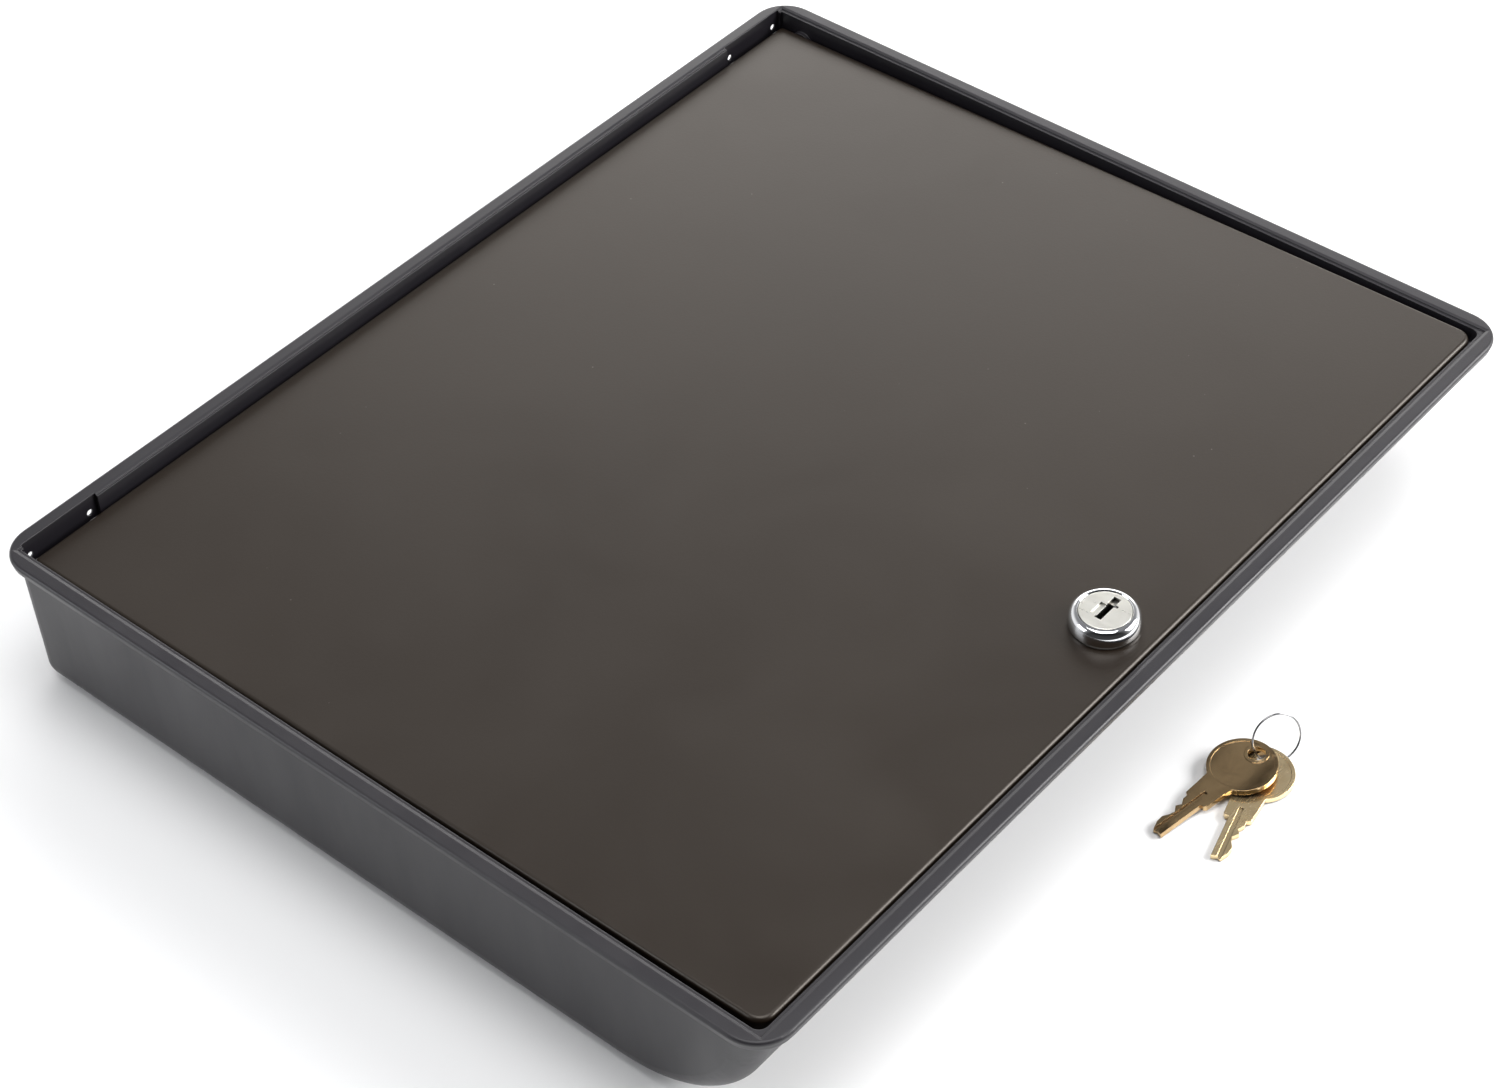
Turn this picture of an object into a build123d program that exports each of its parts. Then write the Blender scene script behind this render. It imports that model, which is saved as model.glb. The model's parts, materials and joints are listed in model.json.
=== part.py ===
from build123d import *
import math
import os

# Locking cash tray: a moulded tray, a hinged steel lid with a cam lock, and two keys on a ring.
# Millimetres. X runs left to right, Y front to rear, Z up.
# The origin is on the floor under the middle of the tray.

# Driving dimensions
TRAY_WIDTH = 354.0
TRAY_DEPTH = 286.0
TRAY_HEIGHT = 51.0
RIM_CORNER = 12.0
RIM_THICKNESS = 3.4
OVERHANG = 3.6
WALL = 2.4
FLOOR = 2.1
DRAFT = 1.5
FRONT_SLOPE = 19.0
SCOOP_RADIUS = 48.0
BOTTOM_RADIUS = 7.0
CORNER_RADIUS = 5.0
DIVIDER = 2.4
DIVIDER_TOP = 38.0
CUP_COUNT = 5
WELL_COUNT = 4
CUP_LENGTH = 102.0
LID_SHEET = 1.0
LID_FLANGE = 9.0
LID_SIDE_GAP = 1.9
LID_FRONT_GAP = 0.8
LID_REAR_GAP = 1.6
LID_FRONT_FLANGE = 3.8
LID_FRONT_TOP = 50.6
LID_REAR_TOP = 46.2
LOCK_FROM_FRONT = 22.5
LOCK_X = -2.0
BEZEL_DIAMETER = 21.0
BARREL_DIAMETER = 16.0
BARREL_LENGTH = 15.0
KEY_THICKNESS = 1.7
KEY_BOW_RADIUS = 10.2
KEY_TIP = 34.6
KEY_HOLE = 5.8
WIRE_RADIUS = 0.3

# Tray outline. Rolling the lip's top edge takes LIP_ROLL off each side.
HALF_W = TRAY_WIDTH / 2
HALF_D = TRAY_DEPTH / 2
LEDGE_INSET = WALL + OVERHANG
REAR_LEDGE_INSET = 5.6
RIM_STEP_INSET = 5.0
RIM_STEP = 0.6
RIM_STEP_OUT = 1.0
RIM_STRIP_DROP = 0.22
RIM_STRIP_SLOPE = 77.0
LIP_TAPER = 14.0
LIP_ROLL = 0.28
BEAD_OUT = 0.9
BEAD_HEIGHT = 1.2
INNER_W = HALF_W - LEDGE_INSET
INNER_FRONT = -HALF_D + LEDGE_INSET
INNER_REAR = HALF_D - REAR_LEDGE_INSET

# Scooped front: a sloping wall that runs into a round scoop, tangent to the floor
WALL_TOP_Z = TRAY_HEIGHT - 2.4
FRONT_ANGLE = math.radians(FRONT_SLOPE)
SCOOP_Y = -HALF_D + OVERHANG + (WALL_TOP_Z - SCOOP_RADIUS) * math.tan(FRONT_ANGLE)
SCOOP_Y += SCOOP_RADIUS / math.cos(FRONT_ANGLE)

# Compartments
POCKET_W = INNER_W - 1.4
CUP_FRONT = -HALF_D + 7.0
CUP_REAR = CUP_FRONT + CUP_LENGTH
WELL_FRONT = CUP_REAR + DIVIDER
WELL_REAR = INNER_REAR - 1.5

# Hinge line and lid plane
LID_HALF_W = INNER_W - LID_SIDE_GAP
LID_FRONT = INNER_FRONT + LID_FRONT_GAP
LID_REAR = INNER_REAR - LID_REAR_GAP
LID_TILT = math.degrees(math.atan2(LID_FRONT_TOP - LID_REAR_TOP, LID_REAR - LID_FRONT))
PIN_BACK = 8.0
PIN_DROP = 5.0
PIVOT_Y = LID_REAR - PIN_BACK
PIVOT_Z = LID_REAR_TOP - PIN_DROP + 0.15
LID_LENGTH = LID_REAR - LID_FRONT
PIN_DIAMETER = 3.0
BOSS_DIAMETER = 9.0
BOSS_GAP = 0.3

# Lock, measured from the lid's top surface on the lock's axis
LOCK_Y = -HALF_D + LOCK_FROM_FRONT
FACE_HEIGHT = 5.2
FACE_THICKNESS = 1.4
FACE_DIAMETER = 15.1
PLUG_DIAMETER = 12.6
CAM_THICKNESS = 1.8
CAM_TOP = -BARREL_LENGTH - 0.25
CAM_REACH = 12.9
CAM_HUB = 5.6
CAM_WIDTH = 9.0
TAIL = 6.0
WAFER_COUNT = 4
WAFER_PITCH = 2.6
WAFER_FIRST = -3.0
NUT_ACROSS = 19.0
SLOT_WIDTH = 16.0
SLOT_LOW = 32.3
SLOT_HIGH = 36.6


def lid_place():
    """Frame on the hinge line, tipped so that the lid rises towards the front."""
    return Location((0, PIVOT_Y, PIVOT_Z), (-LID_TILT, 0, 0))


def lock_place():
    """Frame on the lock's axis, at the lid's top surface."""
    along = (LOCK_Y - PIVOT_Y) / math.cos(math.radians(LID_TILT))
    return lid_place() * Location((LOCK_X, along, PIN_DROP))


def span_box(x0, x1, y0, y1, z0, z1):
    """Box between two corners."""
    centre = ((x0 + x1) / 2, (y0 + y1) / 2, (z0 + z1) / 2)
    return Location(centre) * Box(x1 - x0, y1 - y0, z1 - z0)


def drafted(width, depth, top, bottom):
    """Block that narrows downwards by the moulding draft."""
    face = Location((0, 0, top)) * Rectangle(width, depth)
    return extrude(face, amount=top - bottom, dir=(0, 0, -1), taper=DRAFT)


def side_profile(inset, rear, rear_radius, top):
    """Side view with the sloping, scooped front and a rounded rear corner, as a face in the YZ plane."""
    radius = SCOOP_RADIUS - inset
    start_y = SCOOP_Y - radius * math.cos(FRONT_ANGLE)
    start_z = SCOOP_RADIUS - radius * math.sin(FRONT_ANGLE)
    top_y = start_y - (top - start_z) * math.tan(FRONT_ANGLE)
    line = Line((top_y, top), (start_y, start_z))
    line += CenterArc((SCOOP_Y, SCOOP_RADIUS), radius, 180 + FRONT_SLOPE, 90 - FRONT_SLOPE)
    line += Line((SCOOP_Y, inset), (rear - rear_radius, inset))
    line += CenterArc((rear - rear_radius, inset + rear_radius), rear_radius, 270, 90)
    line += Polyline((rear, inset + rear_radius), (rear, top), (top_y, top))
    return make_face(Plane.YZ * line)


def tray_body():
    """Outer shape of the tray below its rim."""
    block = drafted(TRAY_WIDTH - 2 * OVERHANG, TRAY_DEPTH - OVERHANG, TRAY_HEIGHT - 0.5, 0)
    block = Location((0, -OVERHANG / 2, 0)) * block
    side = side_profile(0, HALF_D + 10, 1, TRAY_HEIGHT + 10)
    block = block & extrude(side, amount=HALF_W, both=True)
    sides = block.faces().filter_by(lambda f: abs(f.center().X) > HALF_W - 10)
    rear = block.edges().filter_by(lambda e: e.center().Y > HALF_D - 10)
    corners = rear.filter_by(lambda e: 10 < e.center().Z < TRAY_HEIGHT - 5)
    lower = sides.edges().filter_by(lambda e: e.center().Z < TRAY_HEIGHT - 5)
    lower = lower.filter_by(lambda e: e not in corners)
    block = fillet(lower + rear.group_by(Axis.Z)[0], BOTTOM_RADIUS)
    upright = block.edges().filter_by(lambda e: abs(e.center().X) > HALF_W - 6 and e.center().Y > HALF_D - 6)
    return fillet(upright, CORNER_RADIUS)


def tray_rim():
    """Overhanging lip with a sloping outer face, rolled at the top, and a bead under it."""
    lip = RectangleRounded(TRAY_WIDTH + 2 * LIP_ROLL, TRAY_DEPTH + 2 * LIP_ROLL, RIM_CORNER)
    lip = extrude(lip, amount=RIM_THICKNESS, dir=(0, 0, -1), taper=LIP_TAPER)
    lip = fillet(lip.edges().group_by(Axis.Z)[-1], 1.0)
    lip = fillet(lip.edges().group_by(Axis.Z)[0], 0.5)
    inset = 2 * (OVERHANG - BEAD_OUT)
    bead_face = RectangleRounded(TRAY_WIDTH - inset, TRAY_DEPTH - inset, CORNER_RADIUS + 1)
    bead = extrude(bead_face, amount=BEAD_HEIGHT + 0.2)
    bead = fillet(bead.edges().group_by(Axis.Z)[0], 0.5)
    low = TRAY_HEIGHT - RIM_THICKNESS - BEAD_HEIGHT
    return Location((0, 0, TRAY_HEIGHT)) * lip + Location((0, 0, low)) * bead


def mouth():
    """Space above the dividers, with the stepped inner edge of the rim."""
    face_w = 2 * INNER_W
    face_d = INNER_REAR - INNER_FRONT
    middle = (INNER_REAR + INNER_FRONT) / 2
    well = Location((0, middle, 0)) * drafted(face_w, face_d, TRAY_HEIGHT + 0.02, DIVIDER_TOP)
    front = well.edges().filter_by(lambda e: 40 < e.center().Z < 50 and e.center().Y < 0)
    well = fillet(front, 3)
    slope = extrude(side_profile(FLOOR, HALF_D, 1, TRAY_HEIGHT + 5), amount=INNER_W, both=True)
    upper = slope.faces().filter_by(Axis.X).edges().filter_by(lambda e: e.center().Z > 40)
    corners = upper.filter_by(lambda e: -HALF_D < e.center().Y < INNER_FRONT + 10)
    well = well & fillet(corners, 3.5)
    step = Rectangle(face_w + 2 * RIM_STEP_OUT, 2 * (HALF_D - RIM_STEP_INSET))
    ledge = extrude(Location((0, 0, TRAY_HEIGHT - RIM_STEP)) * step, amount=2)
    strip = extrude(Location((0, 0, TRAY_HEIGHT - RIM_STRIP_DROP)) * step, amount=1, taper=-RIM_STRIP_SLOPE)
    return well + ledge + strip


def coin_cup(x0, x1):
    """Space of one coin cup: scooped at the front and rounded along its floor."""
    side = side_profile(FLOOR, CUP_REAR, 14, DIVIDER_TOP + 8)
    cup = Location((x0, 0, 0)) * extrude(side, amount=x1 - x0, dir=(1, 0, 0))
    ends = cup.faces().filter_by(Axis.X)
    low = ends.edges().filter_by(lambda e: e.center().Z < DIVIDER_TOP + 4)
    low = low.filter_by(Axis.Z, reverse=True)
    cup = fillet(low, 6)
    return cup - span_box(x0 - 1, x1 + 1, CUP_FRONT - 1, CUP_REAR + 1, DIVIDER_TOP + 1, TRAY_HEIGHT)


def bill_well(x0, x1):
    """Space of one note well with rounded corners and floor."""
    well = span_box(x0, x1, WELL_FRONT, WELL_REAR, FLOOR, DIVIDER_TOP + 2)
    well = fillet(well.edges().filter_by(Axis.Z), 5)
    return fillet(well.faces().sort_by(Axis.Z)[0].edges(), 4)


def row_of_spaces(count, one_space):
    """Equal spaces side by side between the outer walls."""
    width = (2 * POCKET_W - (count - 1) * DIVIDER) / count
    spaces = []
    for i in range(count):
        left = -POCKET_W + i * (width + DIVIDER)
        spaces.append(one_space(left, left + width))
    return spaces


def hinge_recesses():
    """Two set-back stretches of the rear rim, each with a small hole at both ends."""
    cuts = []
    for side in (-1, 1):
        inner = side * 142.0
        outer = side * (INNER_W - 1.0)
        low = min(inner, outer)
        high = max(inner, outer)
        pocket = span_box(low, high, INNER_REAR - 3, HALF_D - 4.4, TRAY_HEIGHT - 12, TRAY_HEIGHT + 1)
        cuts.append(fillet(pocket.edges().filter_by(Axis.X).group_by(Axis.Z)[0], 1.0))
        for x in (side * 144.8, side * 167.6):
            hole = Rot(90, 0, 0) * Cylinder(1.1, 8)
            cuts.append(Location((x, HALF_D - 4.4, TRAY_HEIGHT - 5.8)) * hole)
    return cuts


def hinge_bosses():
    """Raised rings on the side walls that hold the hinge pins."""
    shapes = []
    inner = LID_HALF_W + BOSS_GAP
    for side in (-1, 1):
        length = INNER_W + 0.6 - inner
        boss = Rot(0, 90, 0) * Cylinder(BOSS_DIAMETER / 2, length)
        x = side * (inner + length / 2)
        shapes.append(Location((x, PIVOT_Y, PIVOT_Z)) * boss)
    return shapes


def hinge_bores():
    """Blind bores for the hinge pins."""
    bores = []
    inner = LID_HALF_W
    length = 3.4
    for side in (-1, 1):
        bore = Rot(0, 90, 0) * Cylinder(PIN_DIAMETER / 2 + 0.05, length)
        bores.append(Location((side * (inner + length / 2), PIVOT_Y, PIVOT_Z)) * bore)
    return bores


def lid_rests():
    """Lugs in the front corners that the lid's front flange comes down on."""
    top = lid_flange_bottom() - BOSS_GAP
    inside = extrude(side_profile(1, HALF_D, 1, TRAY_HEIGHT), amount=HALF_W, both=True)
    shapes = []
    for side in (-1, 1):
        low = min(side * 157, side * (INNER_W - 1.5))
        high = max(side * 157, side * (INNER_W - 1.5))
        lug = span_box(low, high, INNER_FRONT - 0.8, -131.0, top - 9, top)
        under = lug.edges().filter_by(Axis.X).group_by(Axis.Z)[0].sort_by(Axis.Y)[-1]
        shapes.append(chamfer(under, 4.5) & inside)
    return shapes


def lid_flange_bottom():
    """Height of the front flange's lower edge with the lid shut."""
    return (lid_place() * Location((0, PIN_BACK - LID_LENGTH, PIN_DROP - LID_FRONT_FLANGE))).position.Z


def cam_slot():
    """Slot through the front wall that the cam's tip turns into."""
    half = SLOT_WIDTH / 2
    slot = span_box(LOCK_X - half, LOCK_X + half, -138, -129.5, SLOT_LOW, SLOT_HIGH)
    return fillet(slot.edges().filter_by(Axis.Y), 0.8)


def make_tray():
    """One-piece moulded tray."""
    tray = tray_body() + tray_rim()
    tray = tray - mouth()
    tray = tray - row_of_spaces(CUP_COUNT, coin_cup)
    tray = tray - row_of_spaces(WELL_COUNT, bill_well)
    sweep = Rot(0, 90, 0) * Cylinder(9.2, 2 * POCKET_W)
    tray = tray - Location((0, PIVOT_Y, PIVOT_Z)) * sweep
    tray = tray - hinge_recesses()
    tray = tray + hinge_bosses() + lid_rests()
    return tray - hinge_bores() - cam_slot()


def make_lid():
    """Folded steel pan with rolled edges, open underneath."""
    rear = PIN_BACK
    front = PIN_BACK - LID_LENGTH
    top = PIN_DROP
    pan = span_box(-LID_HALF_W, LID_HALF_W, front, rear, top - LID_FLANGE, top)
    uprights = pan.edges().filter_by(Axis.Z)
    pan = fillet(uprights.group_by(Axis.Y)[0], 5)
    pan = fillet(pan.edges().filter_by(Axis.Z).group_by(Axis.Y)[-1], 1.6)
    pan = fillet(pan.edges().group_by(Axis.Z)[-1], 1.4)
    inner = LID_HALF_W - LID_SHEET
    floor = top - LID_FLANGE - 1
    space = span_box(-inner, inner, front + LID_SHEET, rear - LID_SHEET, floor, top - LID_SHEET)
    space = fillet(space.edges().filter_by(Axis.Z).group_by(Axis.Y)[0], 4)
    space = fillet(space.edges().filter_by(Axis.Z).group_by(Axis.Y)[-1], 0.6)
    space = fillet(space.edges().group_by(Axis.Z)[-1], 0.4)
    pan = pan - space
    pan = pan - span_box(-HALF_W, HALF_W, front - 1, front + 7, floor, top - LID_FRONT_FLANGE)
    pan = pan - span_box(-inner + 4, inner - 4, rear - 3, rear + 1, floor, top - 6)
    pin_hole = Rot(0, 90, 0) * Cylinder(PIN_DIAMETER / 2 + 0.05, 2 * LID_HALF_W + 4)
    pan = lid_place() * (pan - pin_hole)
    return pan - lock_place() * barrel_section(BARREL_DIAMETER / 2 + 0.1, 0.1, -4, 3)


def make_hinge_pin(side):
    """Shouldered rivet through the lid's side flange into the tray's wall."""
    inner = LID_HALF_W - LID_SHEET
    shank_length = 4.0
    shank = Rot(0, 90, 0) * Cylinder(PIN_DIAMETER / 2, shank_length)
    shank = Location((inner + shank_length / 2, 0, 0)) * shank
    head = Rot(0, 90, 0) * Cylinder(2.9, 1.3)
    head = Location((inner - 0.65, 0, 0)) * head
    head = fillet(head.edges().group_by(Axis.X)[0], 0.8)
    pin = shank + head
    if side < 0:
        pin = mirror(pin, about=Plane.YZ)
    return Location((0, PIVOT_Y, PIVOT_Z)) * pin


def barrel_section(radius, clearance, bottom, top):
    """Round bar with two flats, as the lock's barrel and its hole."""
    flats = 14.2 / 2 + clearance
    bar = Location((0, 0, (bottom + top) / 2)) * Cylinder(radius, top - bottom)
    return bar & span_box(-radius - 1, radius + 1, -flats, flats, bottom - 1, top + 1)


def bezel_profile():
    """Half section of the chrome bezel: a domed flank up to a narrow ring round the face."""
    half = BEZEL_DIAMETER / 2
    ring = FACE_DIAMETER / 2 + 0.15
    crown = ring + 0.5
    seat = FACE_HEIGHT - FACE_THICKNESS
    high = FACE_HEIGHT + 0.1
    path = Polyline((5, seat), (ring, seat), (ring, high - 0.2), (ring + 0.2, high), (crown, high))
    path += EllipticalCenterArc((crown, 0.9), half - crown, high - 0.9, start_angle=0, arc_size=90)
    path += Polyline((half, 0.9), (half - 0.25, 0.02), (5, 0.02), (5, seat))
    return make_face(Plane.XZ * path)


def make_lock_housing():
    """Bezel and threaded barrel of the cam lock."""
    bezel = revolve(bezel_profile(), Axis.Z)
    bottom = -BARREL_LENGTH
    barrel = barrel_section(BARREL_DIAMETER / 2, 0, bottom, 1)
    body = bezel + barrel
    pitch = 1.25
    grooves = int((BARREL_LENGTH - 3.6) / pitch) + 1
    for i in range(grooves):
        z = bottom + 1.2 + i * pitch
        ring = Location((0, 0, z)) * Torus(BARREL_DIAMETER / 2 + 0.15, 0.55)
        body = body - ring
    bore = Location((0, 0, -6)) * Cylinder(PLUG_DIAMETER / 2 + 0.05, 40)
    body = body - bore
    body = body - span_box(-7.0, 7.0, -2.2, 2.2, bottom + 2, -1.5)
    return lock_place() * body


def keyway():
    """Slot for the key: an offset slot in the face, a sunk step, a ward notch and the deep slot."""
    deep = span_box(-3.9, 3.9, -1.15, 1.15, CAM_TOP + 3.4, FACE_HEIGHT)
    mouth_slot = span_box(-3.2, 6.0, -1.15, 1.15, FACE_HEIGHT - 1.3, FACE_HEIGHT + 1)
    step = span_box(-2.9, 2.1, 0, 2.95, FACE_HEIGHT - 0.6, FACE_HEIGHT + 1)
    notch = span_box(2.4, 3.4, -2.2, 0, FACE_HEIGHT - 0.8, FACE_HEIGHT + 1)
    return deep + mouth_slot + step + notch


def wafer_heights():
    """Levels of the wafers below the lid's surface."""
    return [WAFER_FIRST - i * WAFER_PITCH for i in range(WAFER_COUNT)]


def make_lock_plug():
    """Turning plug with its face disc, keyway, wafer slots and square tail."""
    disc = Location((0, 0, FACE_HEIGHT - FACE_THICKNESS / 2)) * Cylinder(FACE_DIAMETER / 2, FACE_THICKNESS)
    disc = fillet(disc.edges().group_by(Axis.Z)[-1], 0.2)
    top = FACE_HEIGHT - 1.0
    length = BARREL_LENGTH + top
    body = Location((0, 0, top - length / 2)) * Cylinder(PLUG_DIAMETER / 2, length)
    tail_end = CAM_TOP - CAM_THICKNESS + 0.1
    tail = span_box(-TAIL / 2, TAIL / 2, -TAIL / 2, TAIL / 2, tail_end, -BARREL_LENGTH + 1)
    plug = disc + body + tail
    plug = plug - keyway()
    for z in wafer_heights():
        plug = plug - span_box(-8, 8, -4.1, 4.1, z - 0.36, z + 0.36)
        pocket = Rot(0, 90, 0) * Cylinder(0.65, 3.8)
        plug = plug - Location((-2.8, 3.4, z)) * pocket
    plug = plug - Location((0, 0, -BARREL_LENGTH - 1)) * Cylinder(1.75, 7)
    return lock_place() * plug


def make_wafer(z):
    """Brass wafer with the window for the key and the notch for its spring."""
    disc = Cylinder(PLUG_DIAMETER / 2 - 0.1, 0.6)
    wafer = disc & Box(20, 8.0, 2)
    wafer = wafer - span_box(-3.3, 3.9, -1.3, 1.5, -1, 1)
    wafer = wafer - span_box(-7, -0.9, 2.6, 5, -1, 1)
    return lock_place() * Location((0, 0, z)) * wafer


def make_wafer_spring(z):
    """Small coil that presses one wafer outwards."""
    coil = Helix(pitch=0.55, height=3.2, radius=0.46)
    start = Plane(origin=coil @ 0, z_dir=coil % 0)
    wire = sweep(start * Circle(0.1), path=coil)
    return lock_place() * Location((-4.5, 3.4, z), (0, 90, 0)) * wire


def make_lock_nut():
    """Hexagon nut that clamps the lock under the lid."""
    nut = extrude(RegularPolygon(NUT_ACROSS / 2, 6, major_radius=False), amount=4.0)
    round_off = Location((0, 0, 2)) * Cylinder(NUT_ACROSS / 2 + 0.9, 4.0)
    round_off = chamfer(round_off.edges(), 0.7)
    nut = (nut & round_off) - Location((0, 0, 2)) * Cylinder(BARREL_DIAMETER / 2 + 0.05, 6)
    return lock_place() * Location((0, 0, -LID_SHEET - 0.9 - 4.0)) * nut


def make_spur_washer():
    """Toothed washer between the nut and the lid."""
    washer = extrude(Circle(10.2), amount=0.8)
    for i in range(16):
        notch = Rot(0, 0, i * 22.5) * span_box(9.3, 11, -0.7, 0.7, -1, 2)
        washer = washer - notch
    washer = washer - Cylinder(BARREL_DIAMETER / 2 + 0.05, 6)
    return lock_place() * Location((0, 0, -LID_SHEET - 0.85)) * washer


def make_cam():
    """Flat steel cam whose tip turns into the slot in the front wall."""
    hub = Circle(CAM_HUB)
    arm = Location((CAM_REACH / 2, 0)) * Rectangle(CAM_REACH, CAM_WIDTH)
    blank = extrude(hub + arm, amount=CAM_THICKNESS)
    tip = blank.edges().filter_by(Axis.Z).group_by(Axis.X)[-1]
    blank = fillet(tip, 2.5)
    blank = blank - span_box(-TAIL / 2 - 0.05, TAIL / 2 + 0.05, -TAIL / 2 - 0.05, TAIL / 2 + 0.05, -1, 4)
    return lock_place() * Location((0, 0, CAM_TOP - CAM_THICKNESS)) * blank


def make_cam_washer():
    """Split spring washer under the cam screw's head."""
    ring = Cylinder(4.4, 0.9) - Cylinder(2.1, 2)
    split = Rot(20, 0, 0) * span_box(0, 6, -0.25, 0.25, -2, 2)
    return lock_place() * Location((0, 0, CAM_TOP - CAM_THICKNESS - 0.5)) * (ring - split)


def make_cam_screw():
    """Pan head screw that holds the cam on the plug's tail."""
    low = CAM_TOP - CAM_THICKNESS - 1.0
    head = Location((0, 0, low - 1.1)) * Cylinder(3.9, 2.2)
    head = fillet(head.edges().group_by(Axis.Z)[0], 1.2)
    shank = Location((0, 0, low + 2.7)) * Cylinder(1.7, 5.4)
    screw = head + shank
    for turn in (0, 90):
        screw = screw - Rot(0, 0, turn) * span_box(-2.0, 2.0, -0.4, 0.4, low - 3, low - 0.9)
    return lock_place() * screw


def key_outline():
    """Flat key: round bow, neck with shoulders and a blade cut along one edge."""
    neck = Polyline((-8.5, 4.9), (-11.5, 4.5), (-18.4, 3.7), (-19.0, 2.5), (-8.5, 2.5), close=True)
    cuts = [(-19.0, 2.6), (-20.6, 2.5), (-22.5, 1.2), (-24.0, 2.1), (-25.8, 0.6), (-27.6, 1.0)]
    cuts += [(-29.4, 1.9), (-31.7, 1.6), (-33.0, 0.9), (-KEY_TIP, 0.1), (-KEY_TIP + 0.5, -0.9)]
    lower = [(-KEY_TIP + 0.2, -2.7), (-19.0, -2.7), (-19.0, -3.8), (-18.2, -4.4), (-11.5, -4.5), (-8.5, -4.9)]
    blade = Polyline(*cuts, *lower, (-8.5, 2.6), close=True)
    return Circle(KEY_BOW_RADIUS) + make_face(neck) + make_face(blade)


def make_key(x, y, turn, lift, roll, flipped):
    """Key lying on its tip and raised at the bow, with a milled groove and a rimmed bow."""
    key = extrude(key_outline(), amount=KEY_THICKNESS)
    key = key - Location((KEY_HOLE, 0, 0)) * Cylinder(2.6, 9)
    for face in (0, KEY_THICKNESS):
        groove = span_box(-KEY_TIP - 1, -14.5, -1.1, 0.3, face - 0.45, face + 0.45)
        key = key - fillet(groove.edges().filter_by(Axis.Z), 0.6)
        boss = Location((KEY_HOLE, 0, 0)) * Cylinder(3.6, 1)
        sunk = Cylinder(KEY_BOW_RADIUS - 1.1, 0.3) - boss
        key = key - Location((0, 0, face)) * sunk
    if flipped:
        key = Location((0, 0, KEY_THICKNESS), (180, 0, 0)) * key
    tip = math.degrees(math.atan2(lift, KEY_TIP))
    return Location((x, y, lift), (0, 0, turn)) * Rot(0, -tip, 0) * Rot(roll, 0, 0) * key


def make_key_ring():
    """Wire ring that stands in both key holes."""
    lean = Rot(0, 0, -31.7) * Rot(67.7, 0, 0)
    ring = Torus(7.44, WIRE_RADIUS)
    return Location((27.71, -162.11, 7.18)) * lean * ring


def build_all():
    """Every piece by its node name."""
    pieces = {
        "tray_moulding": make_tray(),
        "lid_panel": make_lid(),
        "hinge_pin_left": make_hinge_pin(-1),
        "hinge_pin_right": make_hinge_pin(1),
        "lock_housing": make_lock_housing(),
        "lock_plug": make_lock_plug(),
        "lock_nut": make_lock_nut(),
        "lock_spur_washer": make_spur_washer(),
        "lock_cam": make_cam(),
        "cam_spring_washer": make_cam_washer(),
        "cam_screw": make_cam_screw(),
        "key_upper": make_key(15.43, -159.1, -11.44, 2.85, -5, False),
        "key_lower": make_key(17.76, -163.37, 15.14, 0.6, 0, True),
        "key_ring": make_key_ring(),
    }
    for i, z in enumerate(wafer_heights()):
        pieces[f"lock_wafer_{i + 1}"] = make_wafer(z)
        pieces[f"wafer_spring_{i + 1}"] = make_wafer_spring(z)
    return pieces


os.makedirs("parts", exist_ok=True)
for name, shape in build_all().items():
    export_step(shape, f"parts/{name}.step")
    box = shape.bounding_box()
    print(f"{name:20s} solids {len(shape.solids())} volume {shape.volume:10.1f}"
          f" x {box.min.X:8.2f} {box.max.X:8.2f} y {box.min.Y:8.2f} {box.max.Y:8.2f}"
          f" z {box.min.Z:6.2f} {box.max.Z:6.2f}")
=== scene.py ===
import json
import math
import bpy
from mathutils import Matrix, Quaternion, Vector

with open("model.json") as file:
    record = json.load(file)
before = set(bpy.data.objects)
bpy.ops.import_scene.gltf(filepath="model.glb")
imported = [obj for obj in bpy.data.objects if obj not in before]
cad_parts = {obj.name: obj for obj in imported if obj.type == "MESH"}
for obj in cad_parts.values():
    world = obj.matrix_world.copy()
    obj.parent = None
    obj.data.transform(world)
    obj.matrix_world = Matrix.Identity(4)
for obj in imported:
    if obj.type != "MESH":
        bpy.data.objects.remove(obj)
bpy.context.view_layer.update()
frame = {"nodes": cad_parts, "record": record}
nodes = frame["nodes"]
scene = bpy.context.scene

# All lengths are in metres. X runs right, Y to the rear and Z up.
CAMERA_PLACE = (-0.5457, -0.4615, 0.6903)
CAMERA_TURN = (0.831115, 0.359666, -0.158985, -0.393207)
SENSOR_WIDTH = 36
LENS = 78.187

FLOOR_LEVEL = -0.00005
FLOOR_SIDES = 96
FLOOR_RINGS = (0.6, 1.5, 4.0, 9.0)

NEAR_SIDE = (-0.764, -0.645, 0)
NEAR_SIDE_STRENGTH = 0.05

# name, place, point aimed at, size, strength, tint
SOFTBOXES = (
    ("overhead", (-0.1, -0.1, 1.8), (0, 0, 0), (1.2, 1.2), 5.0, (1, 1, 1)),
    ("back", (1.50, 1.02, 0.84), (0, 0, 0.05), (1.6, 0.6), 4.1, (1.0, 0.985, 0.97)),
    ("left", (-1.4, 1.1, 0.9), (-0.1, 0.1, 0), (1.0, 0.8), 4.0, (0.93, 0.96, 1.0)),
    ("front", (1.2, -1.4, 1.1), (0.1, -0.2, 0), (1.5, 0.9), 14.0, (1, 1, 1)),
)


# ---------------------------------------------------------------- camera
def make_camera():
    """Camera in front of the left side, looking down on the tray."""
    data = bpy.data.cameras.new("camera")
    cam = bpy.data.objects.new("camera", data)
    scene.collection.objects.link(cam)
    cam.rotation_mode = "QUATERNION"
    cam.location = CAMERA_PLACE
    cam.rotation_quaternion = Quaternion(CAMERA_TURN)
    data.sensor_fit = "HORIZONTAL"
    data.sensor_width = SENSOR_WIDTH
    data.lens = LENS
    data.clip_start = 0.01
    data.clip_end = 50
    scene.camera = cam


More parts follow.
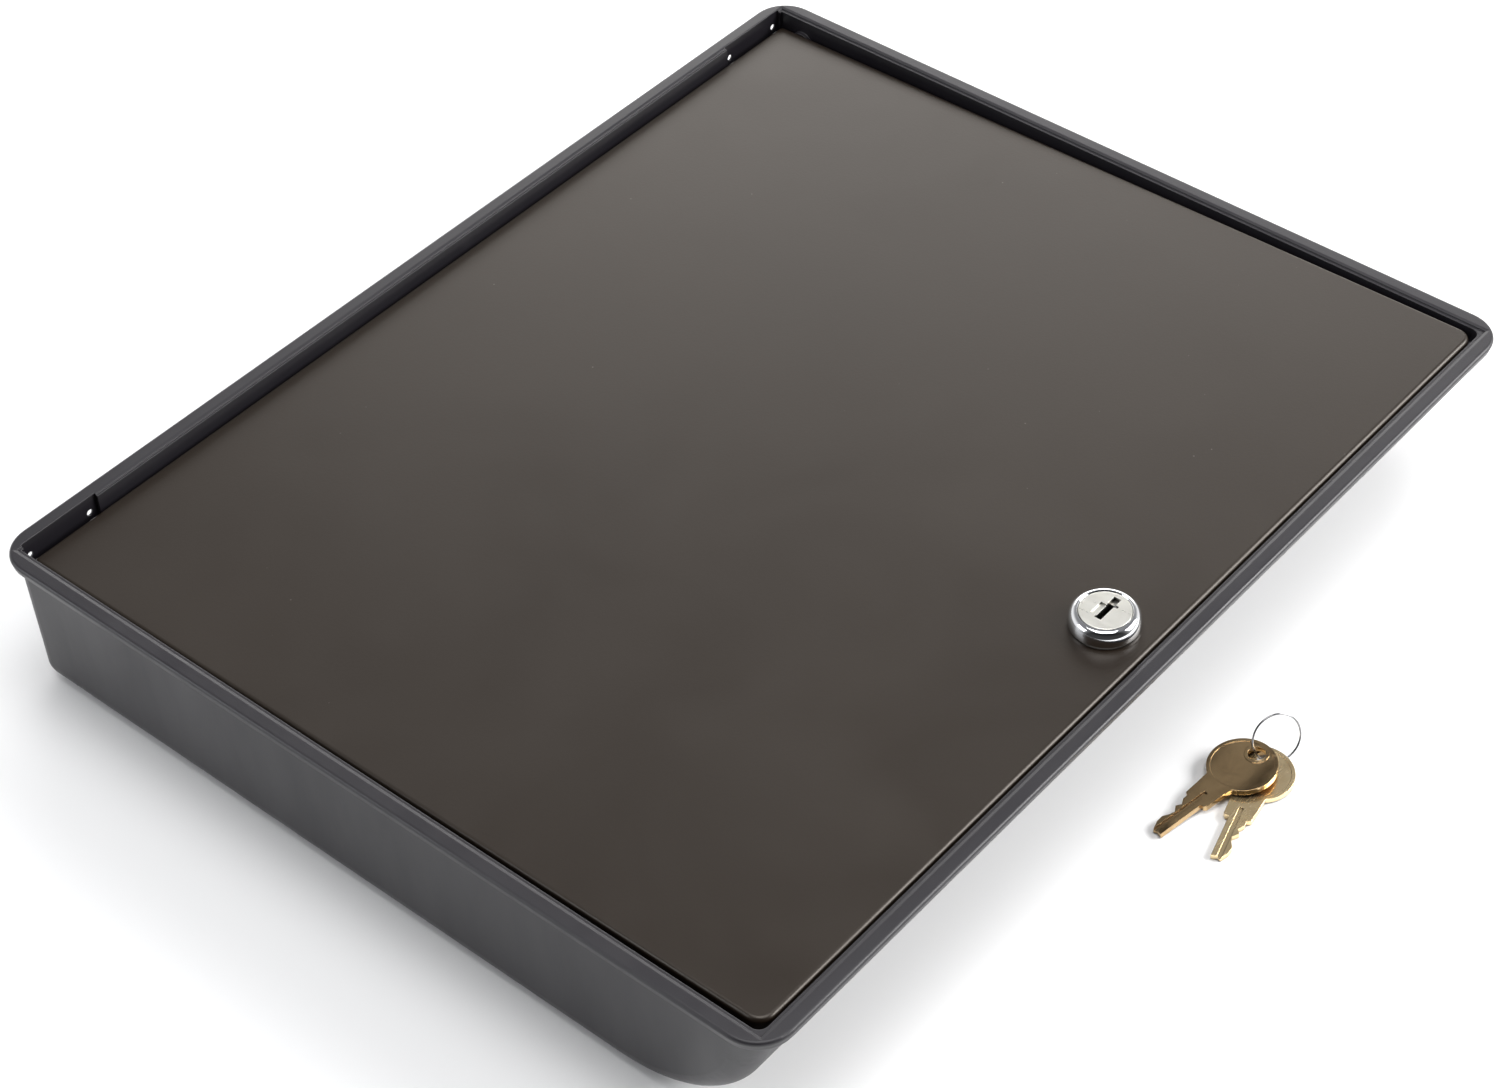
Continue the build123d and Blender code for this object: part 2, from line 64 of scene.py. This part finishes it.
# ---------------------------------------------------------------- node helpers
def set_range(node, low, high, to_low, to_high):
    """Sets the four limits of a Map Range node."""
    node.inputs["From Min"].default_value = low
    node.inputs["From Max"].default_value = high
    node.inputs["To Min"].default_value = to_low
    node.inputs["To Max"].default_value = to_high


class Look:
    """A material under construction: short names for the nodes that it needs."""

    def __init__(self, name, colour, roughness, metallic=0.0):
        self.material = bpy.data.materials.new(name)
        self.material.use_nodes = True
        self.tree = self.material.node_tree
        self.shader = self.tree.nodes["Principled BSDF"]
        self.shader.inputs["Base Color"].default_value = (*colour, 1)
        self.shader.inputs["Roughness"].default_value = roughness
        self.shader.inputs["Metallic"].default_value = metallic
        self.coords = self.tree.nodes.new("ShaderNodeTexCoord").outputs["Object"]
        self.normal = None

    def set(self, name, value):
        self.shader.inputs[name].default_value = value

    def link(self, a, b):
        self.tree.links.new(a, b)

    def place(self, scale, turn=(0, 0, 0)):
        """Stretched and turned object coordinates."""
        n = self.tree.nodes.new("ShaderNodeMapping")
        n.inputs["Scale"].default_value = scale
        n.inputs["Rotation"].default_value = turn
        self.link(self.coords, n.inputs["Vector"])
        return n.outputs["Vector"]

    def noise(self, scale, detail=3.0, rough=0.55, coords=None, twist=0.0):
        n = self.tree.nodes.new("ShaderNodeTexNoise")
        n.inputs["Scale"].default_value = scale
        n.inputs["Detail"].default_value = detail
        n.inputs["Roughness"].default_value = rough
        n.inputs["Distortion"].default_value = twist
        self.link(coords or self.coords, n.inputs["Vector"])
        return n.outputs["Fac"]

    def cells(self, scale):
        """Distance to the nearest of many scattered points."""
        n = self.tree.nodes.new("ShaderNodeTexVoronoi")
        n.inputs["Scale"].default_value = scale
        self.link(self.coords, n.inputs["Vector"])
        return n.outputs["Distance"]

    def remap(self, value, low, high, to_low, to_high):
        n = self.tree.nodes.new("ShaderNodeMapRange")
        set_range(n, low, high, to_low, to_high)
        self.link(value, n.inputs["Value"])
        return n.outputs["Result"]

    def math(self, kind, a, b):
        n = self.tree.nodes.new("ShaderNodeMath")
        n.operation = kind
        for socket, x in zip(n.inputs, (a, b)):
            if isinstance(x, (int, float)):
                socket.default_value = x
            else:
                self.link(x, socket)
        return n.outputs[0]

    def mix(self, amount, a, b):
        """Blend of two colours, each a tuple or a socket."""
        n = self.tree.nodes.new("ShaderNodeMix")
        n.data_type = "RGBA"
        self.link(amount, n.inputs["Factor"])
        for socket, x in ((n.inputs[6], a), (n.inputs[7], b)):
            if isinstance(x, tuple):
                socket.default_value = (*x, 1)
            else:
                self.link(x, socket)
        return n.outputs[2]

    def colour(self, socket):
        self.link(socket, self.shader.inputs["Base Color"])

    def roughness(self, socket):
        self.link(socket, self.shader.inputs["Roughness"])

    def bump(self, height, distance, strength):
        """Adds a layer of bumps on top of those already there."""
        n = self.tree.nodes.new("ShaderNodeBump")
        n.inputs["Distance"].default_value = distance
        n.inputs["Strength"].default_value = strength
        self.link(height, n.inputs["Height"])
        if self.normal is not None:
            self.link(self.normal, n.inputs["Normal"])
        self.normal = n.outputs["Normal"]
        self.link(self.normal, self.shader.inputs["Normal"])

    def recess_shade(self, colour, dark, reach):
        """Painted shade: darkens what lies deep in slots and corners, as found by ambient
        occlusion.
        """
        n = self.tree.nodes.new("ShaderNodeAmbientOcclusion")
        n.samples = 8
        n.inputs["Distance"].default_value = reach
        open_air = self.remap(n.outputs["AO"], 0.25, 0.8, 0.0, 1.0)
        return self.mix(open_air, dark, colour)

    def round_edges(self, radius):
        n = self.tree.nodes.new("ShaderNodeBevel")
        n.samples = 6
        n.inputs["Radius"].default_value = radius
        self.normal = n.outputs["Normal"]
        self.link(self.normal, self.shader.inputs["Normal"])


# ---------------------------------------------------------------- materials
def tray_plastic():
    """Black moulded plastic with a satin skin, faint flow marks and rubbed spots."""
    m = Look("tray_plastic", (0.016, 0.016, 0.019), 0.42)
    m.round_edges(0.0004)
    cloud = m.noise(9, 4, 0.6)
    tone = m.remap(cloud, 0.3, 0.7, 0.0, 1.0)
    base = m.mix(tone, (0.0100, 0.0088, 0.0118), (0.0145, 0.0130, 0.0165))
    rub = m.noise(34, 6, 0.7, twist=1.5)
    worn = m.remap(rub, 0.62, 0.8, 0.0, 0.5)
    m.colour(m.mix(worn, base, (0.026, 0.024, 0.028)))
    flow = m.noise(1, 3, 0.6, m.place((14, 60, 14), (0.2, 0.1, 0.5)))
    rough = m.remap(flow, 0.25, 0.75, 0.34, 0.46)
    m.roughness(m.math("ADD", rough, m.math("MULTIPLY", worn, 0.12)))
    m.bump(m.noise(1900, 2, 0.5), 0.00003, 0.5)
    m.bump(m.noise(260, 3, 0.5), 0.00006, 0.3)
    m.bump(m.noise(26, 2, 0.5), 0.0005, 0.2)
    return m.material


def lid_paint():
    """Dark warm brown stoved paint: fine orange peel, a little dust and slow waves in the sheet."""
    m = Look("lid_paint", (0.012, 0.008, 0.005), 0.38)
    m.set("Specular Tint", (1.0, 0.93, 0.85, 1))
    cloud = m.noise(5, 4, 0.6)
    tone = m.remap(cloud, 0.3, 0.7, 0.0, 1.0)
    base = m.mix(tone, (0.0085, 0.0050, 0.0028), (0.0115, 0.0072, 0.0042))
    speck = m.remap(m.cells(95), 0.012, 0.03, 1.0, 0.0)
    dusty = m.remap(m.noise(12, 2, 0.5), 0.52, 0.6, 0.0, 0.6)
    m.colour(m.mix(m.math("MULTIPLY", speck, dusty), base, (0.17, 0.16, 0.15)))
    haze = m.noise(16, 5, 0.65, twist=0.6)
    m.roughness(m.remap(haze, 0.2, 0.8, 0.32, 0.42))
    m.bump(m.noise(1100, 2, 0.5), 0.00003, 0.5)
    m.bump(m.noise(5.5, 1, 0.4), 0.0018, 0.2)
    return m.material


def chrome():
    """Bright plating with the slightest haze and hairlines."""
    m = Look("lock_chrome", (0.80, 0.81, 0.83), 0.05, 1.0)
    haze = m.noise(420, 4, 0.6)
    m.roughness(m.remap(haze, 0.3, 0.7, 0.03, 0.08))
    tone = m.remap(m.noise(90, 3, 0.6), 0.3, 0.7, 0.0, 1.0)
    unshaded = m.mix(tone, (0.74, 0.75, 0.78), (0.84, 0.85, 0.86))
    # Painted shade: the plating turns near black deep in slots and corners.
    m.colour(m.recess_shade(unshaded, (0.05, 0.05, 0.055), 0.0025))
    m.bump(m.noise(700, 2, 0.5), 0.00001, 0.3)
    return m.material


def nickel():
    """Satin nickel plug with the faintest turning marks."""
    m = Look("plug_nickel", (0.90, 0.89, 0.83), 0.3, 1.0)
    m.round_edges(0.00012)
    grain = m.noise(1, 3, 0.5, m.place((900, 90, 200)))
    m.roughness(m.remap(grain, 0.3, 0.7, 0.27, 0.34))
    tone = m.remap(m.noise(200, 4, 0.6), 0.3, 0.75, 0.0, 1.0)
    unshaded = m.mix(tone, (0.86, 0.85, 0.78), (0.92, 0.91, 0.85))
    # Painted shade: the plug goes dark brown deep in its keyway slot and corners.
    m.colour(m.recess_shade(unshaded, (0.02, 0.012, 0.01), 0.004))
    m.bump(grain, 0.000002, 0.3)
    return m.material


def zinc():
    """Dull zinc plating with a faint spangle."""
    m = Look("zinc_steel", (0.5, 0.51, 0.53), 0.36, 1.0)
    m.round_edges(0.0002)
    tone = m.remap(m.cells(700), 0.0, 0.8, 0.0, 1.0)
    m.colour(m.mix(tone, (0.44, 0.45, 0.47), (0.60, 0.60, 0.60)))
    m.roughness(m.remap(m.noise(160, 4, 0.6), 0.3, 0.7, 0.28, 0.46))
    m.bump(m.noise(900, 3, 0.5), 0.00001, 0.5)
    return m.material


def brass(name, light, dark, rough):
    """Stamped brass with light tarnish, handling marks and fine scratches."""
    m = Look(name, light, rough, 1.0)
    m.round_edges(0.0002)
    tarnish = m.remap(m.noise(110, 4, 0.6, twist=0.6), 0.42, 0.78, 0.0, 0.7)
    # Painted shade: the brass goes dark brown in holes, grooves and corners, on top of the real
    # tarnish.
    m.colour(m.recess_shade(m.mix(tarnish, light, dark), (0.10, 0.05, 0.02), 0.002))
    lines = m.noise(1, 3, 0.6, m.place((200, 2600, 700), (0, 0, 0.5)))
    handled = m.remap(m.noise(90, 3, 0.6), 0.3, 0.7, rough - 0.04, rough + 0.05)
    scored = m.remap(lines, 0.55, 0.8, 0.0, 0.08)
    m.roughness(m.math("ADD", handled, scored))
    m.bump(lines, 0.000003, 0.3)
    m.bump(m.noise(130, 2, 0.5), 0.00006, 0.5)
    return m.material


def wire():
    """Drawn steel wire with a faintly uneven surface."""
    m = Look("ring_wire", (0.36, 0.36, 0.37), 0.22, 1.0)
    m.roughness(m.remap(m.noise(600, 3, 0.6), 0.3, 0.7, 0.16, 0.3))
    tone = m.remap(m.noise(350, 3, 0.6), 0.3, 0.7, 0.0, 1.0)
    m.colour(m.mix(tone, (0.26, 0.26, 0.27), (0.44, 0.44, 0.45)))
    m.bump(m.noise(2600, 2, 0.5), 0.00001, 0.4)
    return m.material


def paint_nodes():
    """Each key gets its own brass. Every other CAD node gets the look of its slot in the record."""
    looks = {
        "tray_plastic": tray_plastic(),
        "lid_paint": lid_paint(),
        "lock_chrome": chrome(),
        "plug_nickel": nickel(),
        "zinc_steel": zinc(),
        "wafer_brass": brass("wafer_brass", (0.66, 0.50, 0.22), (0.40, 0.27, 0.10), 0.3),
        "key_upper": brass("key_brass_brown", (0.66, 0.47, 0.25), (0.34, 0.22, 0.11), 0.13),
        "key_lower": brass("key_brass_pale", (1.0, 0.80, 0.48), (0.84, 0.62, 0.32), 0.24),
        "ring_wire": wire(),
    }
    for part in frame["record"]["subparts"]:
        mesh = nodes[part["node"]].data
        mesh.materials.clear()
        mesh.materials.append(looks.get(part["node"]) or looks[part["material_slot"]])


# ---------------------------------------------------------------- stage
def paper():
    """Pale matt paper."""
    m = Look("paper", (0.93, 0.93, 0.93), 0.9)
    tone = m.remap(m.noise(3, 3, 0.5), 0.3, 0.7, 0.0, 1.0)
    m.colour(m.mix(tone, (0.92, 0.92, 0.92), (0.94, 0.94, 0.94)))
    m.set("Specular IOR Level", 0.2)
    return m.material


def make_floor():
    """Flat round floor: a fan of triangles with rings of quads around it."""
    verts = [(0, 0, FLOOR_LEVEL)]
    for radius in FLOOR_RINGS:
        for i in range(FLOOR_SIDES):
            angle = 2 * math.pi * i / FLOOR_SIDES
            verts.append((radius * math.cos(angle), radius * math.sin(angle), FLOOR_LEVEL))
    faces = []
    for i in range(FLOOR_SIDES):
        j = (i + 1) % FLOOR_SIDES
        faces.append((0, 1 + i, 1 + j))
        for ring in range(len(FLOOR_RINGS) - 1):
            inner = 1 + ring * FLOOR_SIDES
            outer = inner + FLOOR_SIDES
            faces.append((inner + i, outer + i, outer + j, inner + j))
    mesh = bpy.data.meshes.new("floor")
    mesh.from_pydata(verts, [], faces)
    mesh.materials.append(paper())
    floor = bpy.data.objects.new("floor", mesh)
    scene.collection.objects.link(floor)


def make_world():
    """Plain studio surround: bright near the horizon, dimmer overhead and on the open near side."""
    world = bpy.data.worlds.new("studio")
    world.use_nodes = True
    tree = world.node_tree
    background = tree.nodes["Background"]
    direction = tree.nodes.new("ShaderNodeTexCoord").outputs["Generated"]

    split = tree.nodes.new("ShaderNodeSeparateXYZ")
    ramp = tree.nodes.new("ShaderNodeValToRGB")
    ramp.color_ramp.interpolation = "EASE"
    horizon, zenith = ramp.color_ramp.elements
    horizon.position = 0.3
    horizon.color = (1.0, 1.0, 1.0, 1)
    zenith.position = 0.78
    zenith.color = (0.26, 0.26, 0.27, 1)
    tree.links.new(direction, split.inputs[0])
    tree.links.new(split.outputs["Z"], ramp.inputs["Fac"])
    tree.links.new(ramp.outputs["Color"], background.inputs["Color"])

    near = tree.nodes.new("ShaderNodeVectorMath")
    near.operation = "DOT_PRODUCT"
    near.inputs[1].default_value = NEAR_SIDE
    fade = tree.nodes.new("ShaderNodeMapRange")
    fade.interpolation_type = "SMOOTHSTEP"
    set_range(fade, 0.0, 0.6, 1.0, NEAR_SIDE_STRENGTH)
    tree.links.new(direction, near.inputs[0])
    tree.links.new(near.outputs["Value"], fade.inputs["Value"])
    tree.links.new(fade.outputs["Result"], background.inputs["Strength"])
    scene.world = world


def make_lights():
    """Soft rectangular lights, whose power grows with their area."""
    for name, place, aim, size, strength, tint in SOFTBOXES:
        data = bpy.data.lights.new(name, "AREA")
        data.shape = "RECTANGLE"
        data.size, data.size_y = size
        data.energy = strength * math.pi * size[0] * size[1]
        data.color = tint
        light = bpy.data.objects.new(name, data)
        light.location = place
        light.rotation_mode = "QUATERNION"
        light.rotation_quaternion = (Vector(aim) - Vector(place)).to_track_quat("-Z", "Y")
        scene.collection.objects.link(light)


paint_nodes()
make_camera()
make_floor()
make_world()
make_lights()
scene.view_settings.view_transform = "Standard"
scene.view_settings.look = "None"
